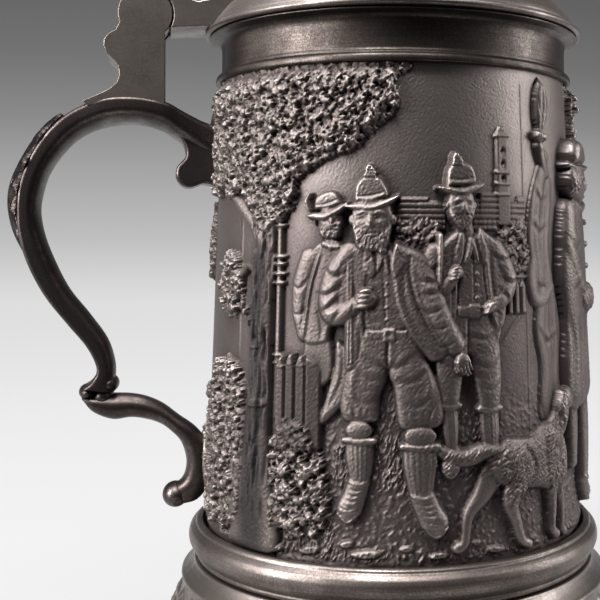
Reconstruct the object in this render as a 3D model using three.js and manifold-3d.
// Pewter tankard: a soldered mug body with a scrolled handle, and a domed lid on a hinge.
// Millimetres, +Z up. The foot stands on z = 0, the handle points along -X, and the origin is
// under the middle of the object's bounding box.

import * as THREE from 'three';
import { mergeVertices } from 'three/addons/utils/BufferGeometryUtils.js';
import Module from 'manifold-3d';

const wasm = await Module();
wasm.setup();

// ---- driving dimensions ----

const footRadius = 56.5;
const handleReach = 88.8;                 // barrel axis to the back of the handle's leaf
const axisX = (handleReach - footRadius) / 2;
const fitGap = 0.3;                       // solder gap between neighbouring pieces
const runningGap = 0.4;                   // clearance between pieces that turn past each other

const roundSteps = 60;                    // facets round the mug and lid
const knobSteps = 32;

const foot = { height: 20.9, neckRadius: 47.0, coveRadius: 49.2, coveZ: 17.4, bandRadius: 55.2,
  bandZ: 4.6, rimWidth: 4.6, wall: 3.0, topInner: 41.0 };
const ring = { bottom: 21.2, ridgeRadius: 48.1, ridgeZ: 25.8, top: 29.4, innerBandRadius: 46.2,
  neckRadius: 47.0, inner: 40.6, ledgeZ: 24.2 };
const barrel = { bottom: ring.ledgeZ + fitGap, top: 129.7, outerBottom: 44.9, outerTop: 41.3, wall: 3.2 };
const floorDisc = { bottom: 25.2, thickness: 1.8, dish: 1.0 };
const collar = { bottom: 130.0, top: 140.7, outer: 40.7, inner: 37.9, beadRadius: 42.1, beadHeight: 3.0,
  flareZ: 137.2, lipRadius: 43.7 };
const lid = { bottom: 141.0, lipRadius: 44.6, lipHeight: 1.1, shoulderRadius: 36.3, shoulderZ: 150.6,
  stepRadius: 33.4, stepZ: 153.4, crownRadius: 8.6, crownZ: 166.0, wall: 1.9, seatInner: 37.4,
  studHole: 2.3 };
const locatingRing = { outer: 37.1, inner: 35.3, bottom: 138.2 };
const finial = { bottom: lid.crownZ + fitGap, height: 30.4, baseRadius: 8.2, neckRadius: 2.7,
  cupRadius: 6.4, nutRadius: 6.6, studRadius: 2.0, tipRadius: 0.9, studBottom: 159.6 };
const finialNut = { bottom: 160.6, height: 3.2, radius: 4.4 };

const hinge = { reach: 58.0, z: 144.5, earRadius: 5.9, knuckleRadius: 5.6, webRadius: 6.6, pinRadius: 1.6,
  width: 14.6, knuckleWidth: 5.2, blindWall: 1.3, plugLength: 1.9, pinClearance: 0.1, facets: 32 };
const bowWidth = 12.4;
const towerFace = 53.7;                   // reach of the tower's flat side, towards the barrel
const lowerScroll = { width: 8.6, top: 59.0, bottomContactZ: 33.4, topContactZ: 50.4 };
const wallContact = 45.6;                 // where the handle castings stop, from the barrel axis
const upperJoint = { z: 113.4, height: 12.4, width: 9.0 };
const lowerJoint = { z: 41.9, height: 15.0, width: 6.6 };
const arm = { bottom: 142.0, waistZ: 147.9, innerReach: 37.5, top: 151.6,
  endAngle: 102, toeAngle: -27 };          // degrees round the hinge, from the barrel side upwards
const thumb = { bottom: arm.top + fitGap, waist: 4.5, halfWidth: 11.0 };
const xEnd = 40;                          // a length that clears any piece on the handle side

// ---- geometry helpers ----

// A ring or disc turned about Z. The profile is [radius, z] pairs, anticlockwise, closed on itself.
function turned(profile, steps = roundSteps) {
  const points = profile.map(([r, z]) => new THREE.Vector2(r, z));
  points.push(points[0].clone());
  return new THREE.LatheGeometry(points, steps).rotateX(Math.PI / 2);
}

// A solid turned about Z, whose profile starts and ends on the axis.
function turnedSolid(profile, steps = roundSteps) {
  const points = profile.map(([r, z]) => new THREE.Vector2(r, z));
  return new THREE.LatheGeometry(points, steps).rotateX(Math.PI / 2);
}

// Points along a quarter-ellipse-like curve between two profile points, bulging towards a corner.
function curved(from, corner, to, steps) {
  const curve = new THREE.QuadraticBezierCurve(
    new THREE.Vector2(...from), new THREE.Vector2(...corner), new THREE.Vector2(...to));
  return curve.getPoints(steps).map((p) => [p.x, p.y]);
}

// Side outlines are written as [reach from the barrel axis, z]; the handle side is -X.
function sideShape(start) {
  const shape = new THREE.Shape();
  shape.moveTo(-start[0], start[1]);
  return shape;
}

function lineTo(shape, ...points) {
  for (const [reach, z] of points) shape.lineTo(-reach, z);
}

function splineTo(shape, ...points) {
  shape.splineThru(points.map(([reach, z]) => new THREE.Vector2(-reach, z)));
}

// A side outline made into a slab of the given width, centred on the handle's plane.
function slab(shape, width, curveSegments = 2) {
  const geometry = new THREE.ExtrudeGeometry(shape, { depth: width, curveSegments, bevelEnabled: false });
  return geometry.rotateX(Math.PI / 2).translate(0, width / 2, 0);
}

// A cylinder along Y through the hinge axis.
function acrossHinge(radius, width, y = 0) {
  const geometry = new THREE.CylinderGeometry(radius, radius, width, hinge.facets);
  return geometry.translate(-hinge.reach, y, hinge.z);
}

function solid(geometry) {
  const plain = new THREE.BufferGeometry();
  plain.setAttribute('position', geometry.getAttribute('position'));
  if (geometry.index) plain.setIndex(geometry.index);
  const merged = mergeVertices(plain, 1e-4);
  return new wasm.Manifold(new wasm.Mesh({
    numProp: 3,
    vertProperties: new Float32Array(merged.attributes.position.array),
    triVerts: new Uint32Array(merged.index.array),
  }));
}

function geometryOf(manifold) {
  const mesh = manifold.getMesh();
  const geometry = new THREE.BufferGeometry();
  geometry.setAttribute('position', new THREE.BufferAttribute(mesh.vertProperties, 3));
  geometry.setIndex(new THREE.BufferAttribute(mesh.triVerts, 1));
  geometry.computeVertexNormals();
  return geometry;
}

// ---- finishes ----

function pewter(colour, roughness) {
  return new THREE.MeshStandardMaterial({ color: colour, metalness: 1, roughness });
}

const darkCast = pewter('#5b514d', 0.55);
const spun = pewter('#8a7f7a', 0.38);
const satinCast = pewter('#75695f', 0.42);
const pinSteel = pewter('#9a9a9c', 0.3);

// ---- mug body ----

function footGeometry() {
  const { height, neckRadius, coveRadius, coveZ, bandRadius, bandZ, rimWidth, wall, topInner } = foot;
  return turned([
    [footRadius - rimWidth, 0], [footRadius, 0], [footRadius, bandZ - 1.4],
    [bandRadius, bandZ], ...curved([bandRadius, bandZ + 0.4], [coveRadius + 2.4, 12], [coveRadius, coveZ], 3),
    [neckRadius, height], [topInner, height], [topInner, height - wall],
    [coveRadius - wall - 0.6, coveZ - wall], [footRadius - rimWidth, bandZ],
  ]);
}

function baseRingGeometry() {
  const { bottom, ridgeRadius, ridgeZ, top, innerBandRadius, neckRadius, inner, ledgeZ } = ring;
  const seat = barrel.outerBottom + fitGap;
  return turned([
    [inner, bottom], [neckRadius, bottom],
    ...curved([neckRadius, bottom + 0.9], [ridgeRadius + 0.7, ridgeZ], [neckRadius, ridgeZ + 2.9], 5),
    [innerBandRadius, top], [seat, top], [seat, ledgeZ], [inner, ledgeZ],
  ]);
}

function barrelGeometry() {
  const { bottom, top, outerBottom, outerTop, wall } = barrel;
  return turned([
    [outerBottom - wall, bottom], [outerBottom, bottom], [outerBottom, ring.top],
    [outerTop, top], [outerTop - wall, top], [outerBottom - wall, ring.top],
  ]);
}

function floorDiscGeometry() {
  const { bottom, thickness, dish } = floorDisc;
  const radius = barrel.outerBottom - barrel.wall - fitGap;
  return turnedSolid([
    [0, bottom], [radius, bottom], [radius, bottom + thickness + dish],
    [radius * 0.82, bottom + thickness], [0, bottom + thickness],
  ]);
}

function rimCollarGeometry() {
  const { bottom, top, outer, inner, beadRadius, beadHeight, flareZ, lipRadius } = collar;
  return turned([
    [inner, bottom], [beadRadius - 0.7, bottom], [beadRadius, bottom + beadHeight / 2],
    [beadRadius - 0.6, bottom + beadHeight], [outer, bottom + beadHeight + 0.5], [outer, flareZ],
    [lipRadius, top - 0.5], [lipRadius, top], [inner, top],
  ]);
}

function bowOutline() {
  const shape = sideShape([wallContact, 120.3]);
  splineTo(shape, [50.0, 123.2], [53.7, 125.0], [60.0, 126.2], [67.1, 126.2], [73.7, 124.8], [78.4, 122.6],
    [82.8, 118.0], [86.2, 111.5], [88.3, 106.2], [handleReach, 102.0], [87.5, 95.0], [84.9, 87.6],
    [80.6, 81.2], [75.4, 75.2], [70.8, 69.6], [68.7, 64.8], [70.2, 62.0], [72.2, 60.8]);
  lineTo(shape, [71.6, lowerScroll.top + fitGap], [64.8, lowerScroll.top + fitGap]);
  splineTo(shape, [64.7, 66.0], [66.3, 71.2], [70.0, 76.4], [75.2, 83.0], [79.4, 91.2], [81.0, 100.6],
    [79.3, 108.9], [75.4, 114.9], [70.0, 118.4], [62.9, 120.2], [56.5, 119.9], [52.2, 117.9],
    [49.5, 115.4], [49.2, 112.8], [51.1, 110.5], [51.3, 108.2], [49.9, 106.3], [47.9, 106.0],
    [wallContact, 106.8]);
  shape.closePath();
  return shape;
}

function towerOutline() {
  const shape = sideShape([towerFace, 122.4]);
  const away = Math.asin((hinge.reach - towerFace) / hinge.earRadius);
  lineTo(shape, [towerFace, hinge.z - hinge.earRadius * Math.cos(away)]);
  shape.absarc(-hinge.reach, hinge.z, hinge.earRadius, away - Math.PI / 2, Math.PI + 0.32, false);
  splineTo(shape, [64.2, 141.0], [66.4, 139.6], [67.0, 137.4], [66.0, 134.9], [64.0, 133.2], [63.6, 130.2],
    [65.2, 127.4], [69.8, 125.8]);
  lineTo(shape, [69.8, 122.4]);
  shape.closePath();
  return shape;
}

function handleBow() {
  const slotWidth = hinge.knuckleWidth + 2 * fitGap;
  const band = solid(slab(bowOutline(), bowWidth));
  const column = solid(slab(towerOutline(), hinge.width, 8));
  const slot = solid(acrossHinge(hinge.webRadius + runningGap, slotWidth));
  const opening = solid(new THREE.BoxGeometry(xEnd, slotWidth, xEnd)
    .translate(-hinge.reach, 0, hinge.z + xEnd / 2));
  const boreStart = hinge.blindWall - hinge.width / 2;
  const bore = solid(acrossHinge(hinge.pinRadius + hinge.pinClearance, hinge.width, boreStart + hinge.width / 2));
  return geometryOf(band.add(column).subtract(slot.add(opening)).subtract(bore));
}

function hingePinGeometry() {
  const start = hinge.blindWall - hinge.width / 2 + fitGap;
  const end = hinge.width / 2 - hinge.plugLength - fitGap;
  return acrossHinge(hinge.pinRadius, end - start, (start + end) / 2);
}

function hingePinPlugGeometry() {
  return acrossHinge(hinge.pinRadius, hinge.plugLength, (hinge.width - hinge.plugLength) / 2);
}

function lowerScrollOutline() {
  const { top, topContactZ, bottomContactZ } = lowerScroll;
  const shape = sideShape([wallContact, topContactZ]);
  splineTo(shape, [47.2, 50.8], [50.4, 53.4], [54.2, 56.3], [58.9, 58.4], [64.7, top]);
  lineTo(shape, [71.6, top]);
  splineTo(shape, [71.4, 57.6], [68.6, 53.8], [65.4, 53.1], [61.6, 53.5], [57.4, 52.8], [52.4, 50.2],
    [49.6, 46.7], [48.8, 43.1], [49.3, 40.4], [50.9, 38.3], [53.1, 38.1], [54.3, 36.0], [53.5, 33.4],
    [51.3, 32.4], [47.9, 33.2], [wallContact, bottomContactZ]);
  shape.closePath();
  return shape;
}

function lowerScrollGeometry() {
  return slab(lowerScrollOutline(), lowerScroll.width);
}

// The barrel's outside grown by the solder gap, to cut what is soldered on it.
function barrelEnvelope() {
  const { bottom, top, outerBottom, outerTop } = barrel;
  return solid(turnedSolid([
    [0, bottom], [outerBottom + fitGap, bottom], [outerBottom + fitGap, ring.top],
    [outerTop + fitGap, top], [0, top],
  ]));
}

// An oval pad of solder between the barrel and a handle casting.
function solderPad({ z, height, width }) {
  const depth = 6;
  const pad = new THREE.CylinderGeometry(0.5, 0.5, depth, 24).rotateZ(Math.PI / 2);
  pad.scale(1, width, height).translate(-(wallContact - fitGap - depth / 2), 0, z);
  return geometryOf(solid(pad).subtract(barrelEnvelope()));
}

// ---- lid ----

// The lid's outside from its lip to its crown, grown by an offset.
function lidOutside(offset = 0) {
  const { lipRadius, bottom, lipHeight, shoulderRadius, shoulderZ, stepRadius, stepZ, crownRadius, crownZ } = lid;
  return [
    [lipRadius + offset, bottom + 0.4], [lipRadius + offset, bottom + lipHeight + offset],
    ...curved([lipRadius - 0.6 + offset, bottom + lipHeight + 0.8 + offset],
      [lipRadius - 2.6 + offset, shoulderZ - 1.6 + offset], [shoulderRadius + offset, shoulderZ + offset], 4),
    [stepRadius + 0.6 + offset, shoulderZ + 1.2 + offset], [stepRadius + offset, stepZ + offset],
    ...curved([stepRadius - 0.5 + offset, stepZ + 0.9 + offset],
      [stepRadius - 7, crownZ - 0.4 + offset], [crownRadius, crownZ + offset], 6),
  ];
}

function lidShellGeometry() {
  const { bottom, lipRadius, seatInner, stepRadius, stepZ, crownRadius, crownZ, wall, studHole } = lid;
  return turned([
    [studHole, crownZ - wall],
    ...curved([crownRadius, crownZ - wall], [stepRadius - 7.6, crownZ - wall - 0.6],
      [stepRadius - wall, stepZ - 1.4], 5),
    [seatInner, bottom + 6], [seatInner, bottom], [lipRadius - 0.7, bottom],
    ...lidOutside(), [studHole, crownZ],
  ]);
}

function locatingRingGeometry() {
  const { outer, inner, bottom } = locatingRing;
  return turned([[inner, bottom], [outer, bottom], [outer, lid.bottom + 5], [inner, lid.bottom + 5]]);
}

function armOutline() {
  const end = THREE.MathUtils.degToRad(arm.endAngle);
  const toe = THREE.MathUtils.degToRad(arm.toeAngle);
  const cut = hinge.earRadius + runningGap;
  const shape = new THREE.Shape();
  shape.absarc(-hinge.reach, hinge.z, cut, end, toe, true);
  lineTo(shape, [45.2, arm.bottom], [arm.innerReach, arm.bottom], [arm.innerReach, arm.top + 0.7]);
  splineTo(shape, [41.5, 150.2], [44.0, 148.5], [46.4, arm.waistZ], [48.6, 148.4], [49.9, 149.7], [50.6, arm.top]);
  lineTo(shape, [58.9, arm.top]);
  shape.closePath();
  return shape;
}

function armWebOutline() {
  const end = THREE.MathUtils.degToRad(arm.endAngle - 4);
  const toe = THREE.MathUtils.degToRad(arm.toeAngle + 2);
  const shape = sideShape([hinge.reach, hinge.z]);
  shape.absarc(-hinge.reach, hinge.z, hinge.webRadius, end, toe, true);
  shape.closePath();
  return shape;
}

function lidArmGeometry() {
  const strap = solid(slab(armOutline(), hinge.width, 8));
  const web = solid(slab(armWebOutline(), hinge.knuckleWidth, 8));
  const knuckle = solid(acrossHinge(hinge.knuckleRadius, hinge.knuckleWidth));
  const bore = solid(acrossHinge(hinge.pinRadius + hinge.pinClearance, hinge.width));
  const dome = solid(turnedSolid([[0, lid.bottom], [lid.lipRadius + fitGap, lid.bottom], ...lidOutside(fitGap),
    [0, lid.crownZ + fitGap]]));
  return geometryOf(strap.add(web).add(knuckle).subtract(bore).subtract(dome));
}

function thumbSideOutline() {
  const shape = sideShape([50.9, thumb.bottom]);
  lineTo(shape, [58.7, thumb.bottom]);
  splineTo(shape, [59.6, 155.5], [60.3, 160.0], [60.8, 165.0], [62.7, 169.8], [65.9, 172.3], [66.8, 175.2],
    [64.2, 177.0], [59.8, 175.2], [56.4, 170.0], [55.2, 163.5], [54.0, 158.0], [51.8, 154.6],
    [50.9, thumb.bottom]);
  return shape;
}

// Half of the thumbpiece's front outline, as [half width, z]; the other half mirrors it.
function thumbFrontOutline() {
  const { bottom, waist, halfWidth } = thumb;
  const half = [[waist, 157.5], [6.6, 162.0], [10.3, 166.2], [halfWidth, 170.4], [8.0, 174.4], [4.0, 176.4]];
  const shape = new THREE.Shape();
  shape.moveTo(-waist - 0.6, bottom - 1);
  shape.lineTo(waist + 0.6, bottom - 1);
  shape.splineThru([...half, [0, 177.3], ...half.map(([y, z]) => [-y, z]).reverse(), [-waist - 0.6, bottom - 1]]
    .map(([y, z]) => new THREE.Vector2(y, z)));
  return shape;
}

function thumbpieceGeometry() {
  const side = solid(slab(thumbSideOutline(), 2 * thumb.halfWidth + 2));
  const front = new THREE.ExtrudeGeometry(thumbFrontOutline(), { depth: xEnd, bevelEnabled: false, curveSegments: 2 });
  front.rotateX(Math.PI / 2).rotateZ(Math.PI / 2).translate(-hinge.reach - xEnd / 2, 0, 0);
  return geometryOf(side.intersect(solid(front)));
}

function lidFinialGeometry() {
  const { bottom, height, baseRadius, neckRadius, cupRadius, nutRadius, studRadius, tipRadius, studBottom } = finial;
  return turnedSolid([
    [0, studBottom], [studRadius, studBottom], [studRadius, bottom], [baseRadius, bottom],
    [baseRadius, bottom + 1.2],
    ...curved([baseRadius - 1.2, bottom + 2.2], [neckRadius - 0.6, bottom + 2.6], [neckRadius, bottom + 6.6], 3),
    [neckRadius + 1.3, bottom + 8.0], [cupRadius, bottom + 11.4], [cupRadius + 0.3, bottom + 14.2],
    ...curved([nutRadius - 0.6, bottom + 15], [nutRadius + 0.6, bottom + 22], [tipRadius + 0.9, bottom + height - 2], 5),
    [tipRadius, bottom + height - 0.3], [0, bottom + height],
  ], knobSteps);
}

function finialNutGeometry() {
  const { bottom, height, radius } = finialNut;
  const bore = finial.studRadius + 0.2;
  return turned([[bore, bottom], [radius, bottom], [radius, bottom + height], [bore, bottom + height]], knobSteps);
}

// ---- assembly ----

function part(group, name, geometry, material) {
  const mesh = new THREE.Mesh(geometry, material);
  mesh.name = name;
  group.add(mesh);
}

const mugBody = new THREE.Group();
part(mugBody, 'foot', footGeometry(), darkCast);
part(mugBody, 'base_ring', baseRingGeometry(), spun);
part(mugBody, 'barrel', barrelGeometry(), darkCast);
part(mugBody, 'floor_disc', floorDiscGeometry(), spun);
part(mugBody, 'rim_collar', rimCollarGeometry(), spun);
part(mugBody, 'handle_bow', handleBow(), satinCast);
part(mugBody, 'handle_lower_scroll', lowerScrollGeometry(), satinCast);
part(mugBody, 'upper_handle_joint', solderPad(upperJoint), satinCast);
part(mugBody, 'lower_handle_joint', solderPad(lowerJoint), satinCast);
part(mugBody, 'hinge_pin', hingePinGeometry(), pinSteel);
part(mugBody, 'hinge_pin_plug', hingePinPlugGeometry(), satinCast);

const lidBody = new THREE.Group();
part(lidBody, 'lid_shell', lidShellGeometry(), spun);
part(lidBody, 'lid_locating_ring', locatingRingGeometry(), spun);
part(lidBody, 'lid_arm', lidArmGeometry(), satinCast);
part(lidBody, 'thumbpiece', thumbpieceGeometry(), satinCast);
part(lidBody, 'lid_finial', lidFinialGeometry(), satinCast);
part(lidBody, 'finial_nut', finialNutGeometry(), spun);

// The mug's own axis stands off the origin, so that the handle side balances the foot side.
const tankard = new THREE.Group();
tankard.add(mugBody, lidBody);
tankard.position.x = axisX;

export default tankard;
